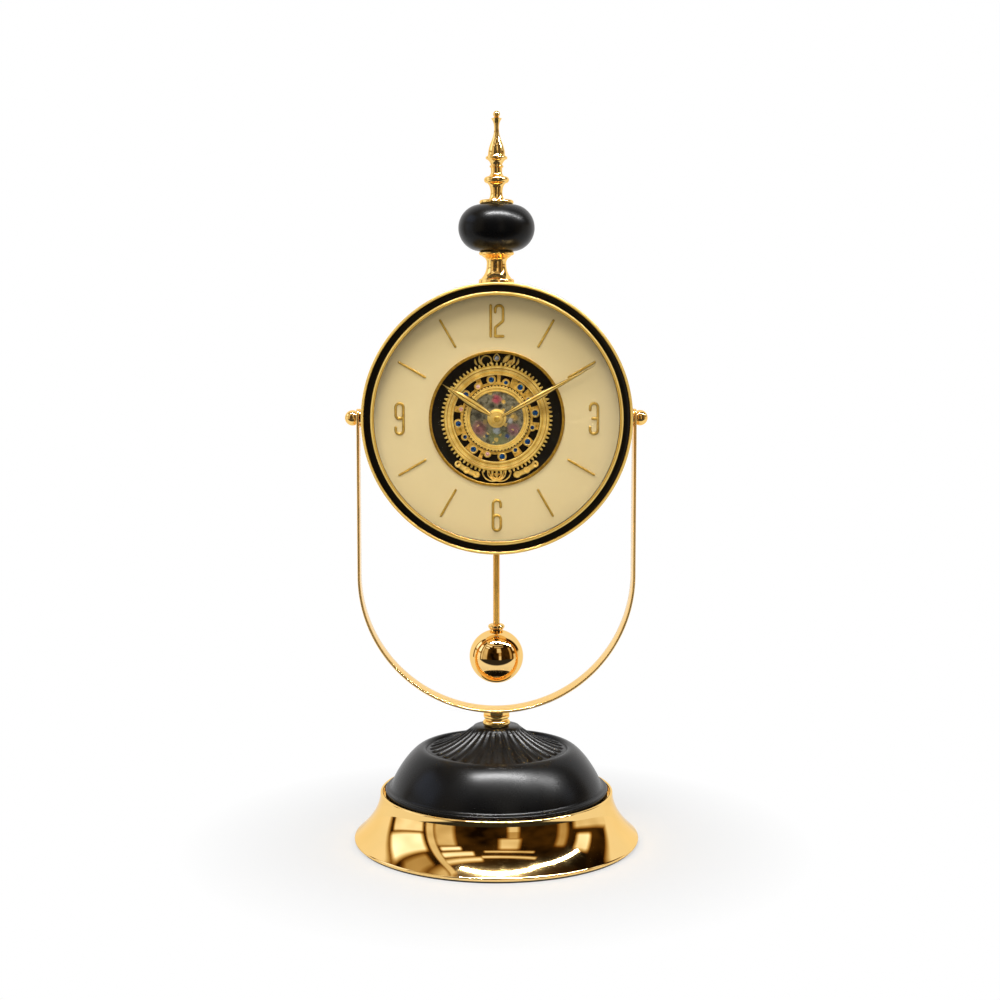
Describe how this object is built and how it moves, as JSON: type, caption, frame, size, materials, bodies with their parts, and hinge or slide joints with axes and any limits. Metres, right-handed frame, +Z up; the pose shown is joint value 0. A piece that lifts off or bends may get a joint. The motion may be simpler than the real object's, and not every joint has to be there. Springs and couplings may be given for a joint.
{
  "type": "desk pendulum clock",
  "caption": "Desk clock with a round drum tilting in a U-shaped yoke on a flared domed foot, open toothed centre on the dial, swinging ball pendulum and a turned finial.",
  "frame": {"origin": "middle of the foot's underside, on the table", "axes": "+Z up, the dial faces -Y, +X to the right of someone facing the dial"},
  "size_m": [0.1882, 0.18, 0.4555],
  "materials": {
    "polished_gold": "polished gold plating",
    "satin_gold": "brushed gold",
    "black_satin": "satin black lacquer",
    "black_gloss": "gloss black",
    "champagne": "satin champagne",
    "clear_glass": "clear",
    "dark_plastic": "matt black",
    "pearl": "mottled pearl",
    "blue_glass": "deep blue",
    "pink_glass": "pink",
    "cell_jacket": "plain jacket",
    "steel": "plain",
    "iron": "raw",
    "felt": "black felt"
  },
  "bodies": {
    "stand": {"base_pad": "felt", "base_skirt": "polished_gold", "base_dome": "black_satin", "ballast_plate": "iron", "tie_rod": "steel", "tie_washer": "steel", "tie_nut": "steel", "ferrule": "polished_gold", "yoke_strap": "polished_gold"},
    "drum": {"drum_case": "polished_gold", "pivot_studs": "steel", "pivot_washers": "polished_gold", "pivot_knobs": "polished_gold", "bezel_ring_black": "black_gloss", "bezel_ring_gold": "polished_gold", "glass": "clear_glass", "dial_spacer": "dark_plastic", "dial_plate": "champagne", "aperture_ring": "polished_gold", "hour_bars": "polished_gold", "hour_numerals": "polished_gold", "movement_well": "dark_plastic", "ring_gear": "satin_gold", "gear_pillars": "satin_gold", "inner_ring": "satin_gold", "bridge_ring": "satin_gold", "jewel_settings": "polished_gold", "blue_jewels": "blue_glass", "pink_jewels": "pink_glass", "centre_disc": "pearl", "top_scroll": "polished_gold", "clear_stone": "clear_glass", "bottom_scroll": "polished_gold", "movement_front": "dark_plastic", "movement_rear": "dark_plastic", "bushing": "polished_gold", "bushing_nut": "polished_gold", "battery": "cell_jacket", "battery_contacts": "steel", "pendulum_pin": "steel", "rear_cover": "dark_plastic", "rear_screws": "steel", "finial_socket": "polished_gold", "finial_ball": "black_satin", "finial_spire": "polished_gold", "finial_stud": "steel", "finial_nut": "steel"},
    "minute": {"minute_arbor": "steel", "minute_hand": "polished_gold", "hand_cap": "polished_gold", "setting_knob": "dark_plastic"},
    "hour": {"hour_pipe": "polished_gold", "hour_hand": "polished_gold"},
    "pendulum": {"pendulum_hanger": "dark_plastic", "pendulum_rod": "polished_gold", "bob_collar": "polished_gold", "pendulum_bob": "polished_gold"}
  },
  "joints": [
    {"name": "drum_tilt", "type": "hinge", "parent": "stand", "child": "drum", "pos_m": [0, 0, 0.268], "axis": [1, 0, 0], "range_deg": [-12, 12]},
    {"name": "minute_turn", "type": "hinge", "parent": "drum", "child": "minute", "pos_m": [0, 0, 0.268], "axis": [0, 1, 0], "continuous": true},
    {"name": "hour_turn", "type": "hinge", "parent": "drum", "child": "hour", "pos_m": [0, 0, 0.268], "axis": [0, 1, 0], "continuous": true},
    {"name": "pendulum_swing", "type": "hinge", "parent": "drum", "child": "pendulum", "pos_m": [0, 0.0045, 0.251], "axis": [0, 1, 0], "range_deg": [-6, 6]}
  ],
  "couplings": [
    {"joint": "hour_turn", "follows": "minute_turn", "ratio": 0.083333}
  ]
}
